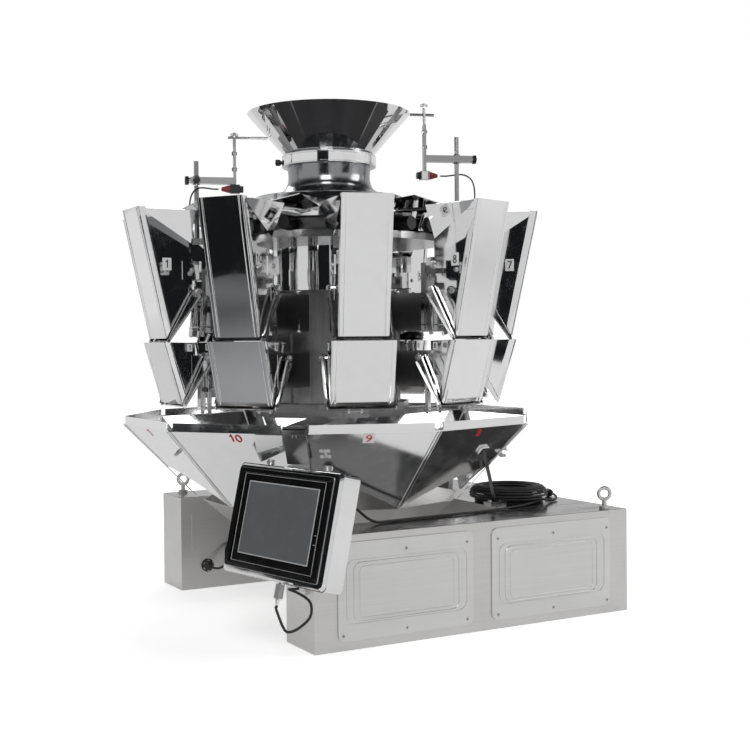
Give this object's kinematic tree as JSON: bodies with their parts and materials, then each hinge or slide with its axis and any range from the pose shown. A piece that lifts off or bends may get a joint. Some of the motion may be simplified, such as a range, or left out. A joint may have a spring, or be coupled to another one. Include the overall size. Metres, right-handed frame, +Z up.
{
  "type": "multihead weigher",
  "caption": "Food-packing multihead weigher: a ring of feed and weigh hoppers over a sloping discharge chute on a U-shaped steel base, with an infeed funnel and a tilted display.",
  "frame": {"origin": "middle of the floor under the whole machine's box, free cords left out", "axes": "+X along the base's arms toward the closed end, +Y across to the rear arm, +Z up"},
  "size_m": [1.108, 1.1928, 1.296],
  "materials": {
    "cabinet_steel": "fine brushed stainless",
    "cable": "black cable sheath",
    "cover_steel": "fine brushed stainless",
    "display_steel": "mirror-polished stainless sheet",
    "screen": "black glass with a grey screen",
    "gate_steel": "mirror-polished stainless sheet",
    "hopper_steel": "mirror-polished stainless sheet",
    "pan_steel": "mirror-polished stainless sheet",
    "skirt_steel": "satin steel",
    "support_steel": "satin steel",
    "funnel_steel": "mirror-polished stainless sheet",
    "sensor_black": "matt black",
    "chute_brushed": "brushed stainless sheet",
    "body_steel": "satin dark steel",
    "chute_steel": "polished stainless sheet"
  },
  "bodies": {
    "frame": {"base_frame": "cabinet_steel", "cable_coil": "cable", "cover_front_1": "cover_steel", "cover_front_2": "cover_steel", "cover_rear_1": "cover_steel", "cover_rear_2": "cover_steel", "display_cable": "cable", "display_housing": "display_steel", "display_screen": "screen", "feed_hopper_01": "hopper_steel", "feed_hopper_02": "hopper_steel", "feed_hopper_03": "hopper_steel", "feed_hopper_04": "hopper_steel", "feed_hopper_05": "hopper_steel", "feed_hopper_06": "hopper_steel", "feed_hopper_07": "hopper_steel", "feed_hopper_08": "hopper_steel", "feed_hopper_09": "hopper_steel", "feed_hopper_10": "hopper_steel", "feeder_pans": "pan_steel", "feeder_skirt": "skirt_steel", "funnel_support_left": "support_steel", "funnel_support_right": "support_steel", "infeed_funnel": "funnel_steel", "level_sensor_left": "sensor_black", "level_sensor_right": "sensor_black", "lower_funnel": "chute_brushed", "machine_body": "body_steel", "top_cone": "pan_steel", "upper_chute": "chute_steel", "weigh_hopper_01": "hopper_steel", "weigh_hopper_02": "hopper_steel", "weigh_hopper_03": "hopper_steel", "weigh_hopper_04": "hopper_steel", "weigh_hopper_05": "hopper_steel", "weigh_hopper_06": "hopper_steel", "weigh_hopper_07": "hopper_steel", "weigh_hopper_08": "hopper_steel", "weigh_hopper_09": "hopper_steel", "weigh_hopper_10": "hopper_steel"},
    "feed_gate_01": {"feed_gate_01": "gate_steel"},
    "feed_gate_02": {"feed_gate_02": "gate_steel"},
    "feed_gate_03": {"feed_gate_03": "gate_steel"},
    "feed_gate_04": {"feed_gate_04": "gate_steel"},
    "feed_gate_05": {"feed_gate_05": "gate_steel"},
    "feed_gate_06": {"feed_gate_06": "gate_steel"},
    "feed_gate_07": {"feed_gate_07": "gate_steel"},
    "feed_gate_08": {"feed_gate_08": "gate_steel"},
    "feed_gate_09": {"feed_gate_09": "gate_steel"},
    "feed_gate_10": {"feed_gate_10": "gate_steel"},
    "weigh_gate_01": {"weigh_gate_01": "gate_steel"},
    "weigh_gate_02": {"weigh_gate_02": "gate_steel"},
    "weigh_gate_03": {"weigh_gate_03": "gate_steel"},
    "weigh_gate_04": {"weigh_gate_04": "gate_steel"},
    "weigh_gate_05": {"weigh_gate_05": "gate_steel"},
    "weigh_gate_06": {"weigh_gate_06": "gate_steel"},
    "weigh_gate_07": {"weigh_gate_07": "gate_steel"},
    "weigh_gate_08": {"weigh_gate_08": "gate_steel"},
    "weigh_gate_09": {"weigh_gate_09": "gate_steel"},
    "weigh_gate_10": {"weigh_gate_10": "gate_steel"}
  },
  "joints": [
    {"name": "feed_gate_01_hinge", "type": "hinge", "parent": "frame", "child": "feed_gate_01", "pos_m": [0.366, 0.05844, 0.797], "axis": [0, 1, 0], "range_deg": [0, 35], "stiffness_Nm_per_rad": 0.6, "springref_deg": -57.3},
    {"name": "feed_gate_02_hinge", "type": "hinge", "parent": "frame", "child": "feed_gate_02", "pos_m": [0.2919, 0.2865, 0.797], "axis": [-0.5878, 0.809, 0], "range_deg": [0, 35], "stiffness_Nm_per_rad": 0.6, "springref_deg": -57.3},
    {"name": "feed_gate_03_hinge", "type": "hinge", "parent": "frame", "child": "feed_gate_03", "pos_m": [0.0979, 0.42745, 0.797], "axis": [-0.9511, 0.309, 0], "range_deg": [0, 35], "stiffness_Nm_per_rad": 0.6, "springref_deg": -57.3},
    {"name": "feed_gate_04_hinge", "type": "hinge", "parent": "frame", "child": "feed_gate_04", "pos_m": [-0.1419, 0.42745, 0.797], "axis": [-0.9511, -0.309, 0], "range_deg": [0, 35], "stiffness_Nm_per_rad": 0.6, "springref_deg": -57.3},
    {"name": "feed_gate_05_hinge", "type": "hinge", "parent": "frame", "child": "feed_gate_05", "pos_m": [-0.3359, 0.2865, 0.797], "axis": [-0.5878, -0.809, 0], "range_deg": [0, 35], "stiffness_Nm_per_rad": 0.6, "springref_deg": -57.3},
    {"name": "feed_gate_06_hinge", "type": "hinge", "parent": "frame", "child": "feed_gate_06", "pos_m": [-0.41, 0.05844, 0.797], "axis": [0, -1, 0], "range_deg": [0, 35], "stiffness_Nm_per_rad": 0.6, "springref_deg": -57.3},
    {"name": "feed_gate_07_hinge", "type": "hinge", "parent": "frame", "child": "feed_gate_07", "pos_m": [-0.3359, -0.16962, 0.797], "axis": [0.5878, -0.809, 0], "range_deg": [0, 35], "stiffness_Nm_per_rad": 0.6, "springref_deg": -57.3},
    {"name": "feed_gate_08_hinge", "type": "hinge", "parent": "frame", "child": "feed_gate_08", "pos_m": [-0.1419, -0.31057, 0.797], "axis": [0.9511, -0.309, 0], "range_deg": [0, 35], "stiffness_Nm_per_rad": 0.6, "springref_deg": -57.3},
    {"name": "feed_gate_09_hinge", "type": "hinge", "parent": "frame", "child": "feed_gate_09", "pos_m": [0.0979, -0.31057, 0.797], "axis": [0.9511, 0.309, 0], "range_deg": [0, 35], "stiffness_Nm_per_rad": 0.6, "springref_deg": -57.3},
    {"name": "feed_gate_10_hinge", "type": "hinge", "parent": "frame", "child": "feed_gate_10", "pos_m": [0.2919, -0.16962, 0.797], "axis": [0.5878, 0.809, 0], "range_deg": [0, 35], "stiffness_Nm_per_rad": 0.6, "springref_deg": -57.3},
    {"name": "weigh_gate_01_hinge", "type": "hinge", "parent": "frame", "child": "weigh_gate_01", "pos_m": [0.3455, 0.05844, 0.637], "axis": [0, 1, 0], "range_deg": [0, 35], "stiffness_Nm_per_rad": 0.6, "springref_deg": -57.3},
    {"name": "weigh_gate_02_hinge", "type": "hinge", "parent": "frame", "child": "weigh_gate_02", "pos_m": [0.27531, 0.27445, 0.637], "axis": [-0.5878, 0.809, 0], "range_deg": [0, 35], "stiffness_Nm_per_rad": 0.6, "springref_deg": -57.3},
    {"name": "weigh_gate_03_hinge", "type": "hinge", "parent": "frame", "child": "weigh_gate_03", "pos_m": [0.09156, 0.40796, 0.637], "axis": [-0.9511, 0.309, 0], "range_deg": [0, 35], "stiffness_Nm_per_rad": 0.6, "springref_deg": -57.3},
    {"name": "weigh_gate_04_hinge", "type": "hinge", "parent": "frame", "child": "weigh_gate_04", "pos_m": [-0.13556, 0.40796, 0.637], "axis": [-0.9511, -0.309, 0], "range_deg": [0, 35], "stiffness_Nm_per_rad": 0.6, "springref_deg": -57.3},
    {"name": "weigh_gate_05_hinge", "type": "hinge", "parent": "frame", "child": "weigh_gate_05", "pos_m": [-0.31931, 0.27445, 0.637], "axis": [-0.5878, -0.809, 0], "range_deg": [0, 35], "stiffness_Nm_per_rad": 0.6, "springref_deg": -57.3},
    {"name": "weigh_gate_06_hinge", "type": "hinge", "parent": "frame", "child": "weigh_gate_06", "pos_m": [-0.3895, 0.05844, 0.637], "axis": [0, -1, 0], "range_deg": [0, 35], "stiffness_Nm_per_rad": 0.6, "springref_deg": -57.3},
    {"name": "weigh_gate_07_hinge", "type": "hinge", "parent": "frame", "child": "weigh_gate_07", "pos_m": [-0.31931, -0.15757, 0.637], "axis": [0.5878, -0.809, 0], "range_deg": [0, 35], "stiffness_Nm_per_rad": 0.6, "springref_deg": -57.3},
    {"name": "weigh_gate_08_hinge", "type": "hinge", "parent": "frame", "child": "weigh_gate_08", "pos_m": [-0.13556, -0.29107, 0.637], "axis": [0.9511, -0.309, 0], "range_deg": [0, 35], "stiffness_Nm_per_rad": 0.6, "springref_deg": -57.3},
    {"name": "weigh_gate_09_hinge", "type": "hinge", "parent": "frame", "child": "weigh_gate_09", "pos_m": [0.09156, -0.29107, 0.637], "axis": [0.9511, 0.309, 0], "range_deg": [0, 35], "stiffness_Nm_per_rad": 0.6, "springref_deg": -57.3},
    {"name": "weigh_gate_10_hinge", "type": "hinge", "parent": "frame", "child": "weigh_gate_10", "pos_m": [0.27531, -0.15757, 0.637], "axis": [0.5878, 0.809, 0], "range_deg": [0, 35], "stiffness_Nm_per_rad": 0.6, "springref_deg": -57.3}
  ]
}
